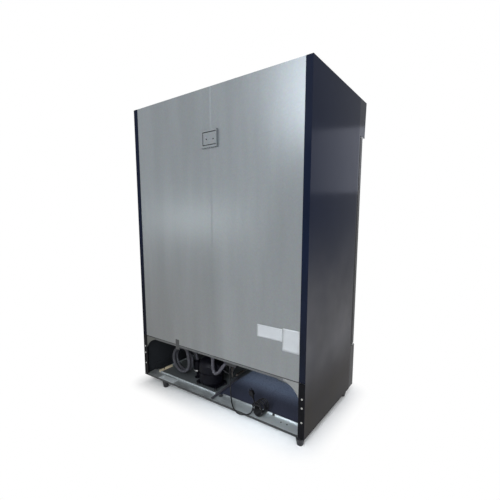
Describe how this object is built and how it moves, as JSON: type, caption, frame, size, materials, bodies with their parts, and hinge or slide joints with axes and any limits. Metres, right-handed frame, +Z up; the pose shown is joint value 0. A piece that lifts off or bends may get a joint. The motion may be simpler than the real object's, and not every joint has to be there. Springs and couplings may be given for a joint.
{
  "type": "glass door refrigerator",
  "caption": "Upright two-door glass-front display refrigerator with header light box, wire shelves, open rear machine compartment and coiled power cord.",
  "frame": {"origin": "on the floor under the middle of the cabinet", "axes": "+X to the right of someone facing the doors, -Y out of the doors, +Y out of the back, +Z up"},
  "size_m": [1.355, 0.8386, 1.99],
  "materials": {
    "gloss_black_sheet": "gloss black coated steel",
    "galvanised_sheet": "plain zinc-coated steel",
    "dark_sheet": "satin dark grey paint",
    "white_sheet": "satin white coated steel",
    "insulating_foam": "rigid foam",
    "black_plastic": "fine matte black plastic",
    "grey_plastic": "matte grey plastic",
    "clear_glass": "clear double glazing",
    "plain_aluminium": "mill finish aluminium",
    "soft_rubber": "black rubber",
    "white_lens": "bare translucent white acrylic",
    "copper_line": "drawn copper",
    "black_shell": "semi-gloss black paint",
    "white_wire": "white coated wire",
    "black_cord": "black cable sheath"
  },
  "bodies": {
    "cabinet": {"accumulator": "black_shell", "base_brackets": "galvanised_sheet", "base_plate": "dark_sheet", "base_side_rails": "galvanised_sheet", "cabinet_floor_panel": "galvanised_sheet", "compressor": "black_shell", "compressor_mounts": "soft_rubber", "condensate_pan": "grey_plastic", "condenser_coil": "plain_aluminium", "condenser_shroud": "dark_sheet", "cord_hank": "black_cord", "drain_hose": "soft_rubber", "evaporator_coil": "plain_aluminium", "evaporator_cover": "white_sheet", "fan_motors": "black_shell", "foam_insulation": "insulating_foam", "front_frame": "gloss_black_sheet", "header_canopy": "gloss_black_sheet", "header_lens": "white_lens", "hinge_brackets": "dark_sheet", "inner_liner": "white_sheet", "junction_box": "black_plastic", "left_back_panel": "galvanised_sheet", "left_bay_shelves": "white_wire", "left_side_panel": "gloss_black_sheet", "light_bars": "white_lens", "lower_grille": "black_plastic", "mullion_post": "gloss_black_sheet", "plug": "black_cord", "power_cord": "black_cord", "rear_base_rail": "galvanised_sheet", "rear_corner_posts": "dark_sheet", "refrigerant_lines": "copper_line", "right_back_panel": "galvanised_sheet", "right_bay_shelves": "white_wire", "right_side_panel": "gloss_black_sheet", "shelf_standards": "white_sheet", "suction_line": "soft_rubber", "top_panel": "galvanised_sheet", "unit_tray": "galvanised_sheet", "wiring_cover": "galvanised_sheet"},
    "left_door": {"left_door_frame": "black_plastic", "left_door_glass": "clear_glass", "left_door_spacer": "plain_aluminium", "left_door_gasket": "soft_rubber", "left_door_handle": "plain_aluminium"},
    "right_door": {"right_door_frame": "black_plastic", "right_door_glass": "clear_glass", "right_door_spacer": "plain_aluminium", "right_door_gasket": "soft_rubber", "right_door_handle": "plain_aluminium"},
    "condenser_fan": {"condenser_fan": "grey_plastic"},
    "left_evaporator_fan": {"left_evaporator_fan": "grey_plastic"},
    "right_evaporator_fan": {"right_evaporator_fan": "grey_plastic"},
    "thermostat_knob": {"thermostat_knob": "black_plastic"},
    "light_switch": {"light_switch": "black_plastic"},
    "left_rear_foot": {"left_rear_foot": "black_plastic"},
    "right_rear_foot": {"right_rear_foot": "black_plastic"},
    "left_front_foot": {"left_front_foot": "black_plastic"},
    "right_front_foot": {"right_front_foot": "black_plastic"}
  },
  "joints": [
    {"name": "right_door_hinge", "type": "hinge", "parent": "cabinet", "child": "right_door", "pos_m": [0.6625, -0.344, 1.067], "axis": [0, 0, 1], "range_deg": [0, 110], "stiffness_Nm_per_rad": 4, "springref_deg": -11.46},
    {"name": "left_door_hinge", "type": "hinge", "parent": "cabinet", "child": "left_door", "pos_m": [-0.6625, -0.344, 1.067], "axis": [0, 0, -1], "range_deg": [0, 110], "stiffness_Nm_per_rad": 4, "springref_deg": -11.46},
    {"name": "condenser_fan_spin", "type": "hinge", "parent": "cabinet", "child": "condenser_fan", "pos_m": [0.31, -0.171, 0.1905], "axis": [0, 1, 0], "continuous": true},
    {"name": "left_evaporator_fan_spin", "type": "hinge", "parent": "cabinet", "child": "left_evaporator_fan", "pos_m": [-0.3, -0.1622, 1.828], "axis": [0, 1, 0], "continuous": true},
    {"name": "right_evaporator_fan_spin", "type": "hinge", "parent": "cabinet", "child": "right_evaporator_fan", "pos_m": [0.3, -0.1622, 1.828], "axis": [0, 1, 0], "continuous": true},
    {"name": "thermostat_turn", "type": "hinge", "parent": "cabinet", "child": "thermostat_knob", "pos_m": [0.07, -0.178, 1.828], "axis": [0, -1, 0], "range_deg": [0, 270]},
    {"name": "light_switch_rock", "type": "hinge", "parent": "cabinet", "child": "light_switch", "pos_m": [-0.07, -0.1735, 1.828], "axis": [1, 0, 0], "range_deg": [-8, 8]},
    {"name": "left_rear_foot_turn", "type": "hinge", "parent": "cabinet", "child": "left_rear_foot", "pos_m": [-0.64, 0.37, 0.03], "axis": [0, 0, 1], "continuous": true},
    {"name": "left_front_foot_turn", "type": "hinge", "parent": "cabinet", "child": "left_front_foot", "pos_m": [-0.64, -0.28, 0.03], "axis": [0, 0, 1], "continuous": true},
    {"name": "right_rear_foot_turn", "type": "hinge", "parent": "cabinet", "child": "right_rear_foot", "pos_m": [0.475, 0.37, 0.03], "axis": [0, 0, 1], "continuous": true},
    {"name": "right_front_foot_turn", "type": "hinge", "parent": "cabinet", "child": "right_front_foot", "pos_m": [0.64, -0.28, 0.03], "axis": [0, 0, 1], "continuous": true}
  ]
}
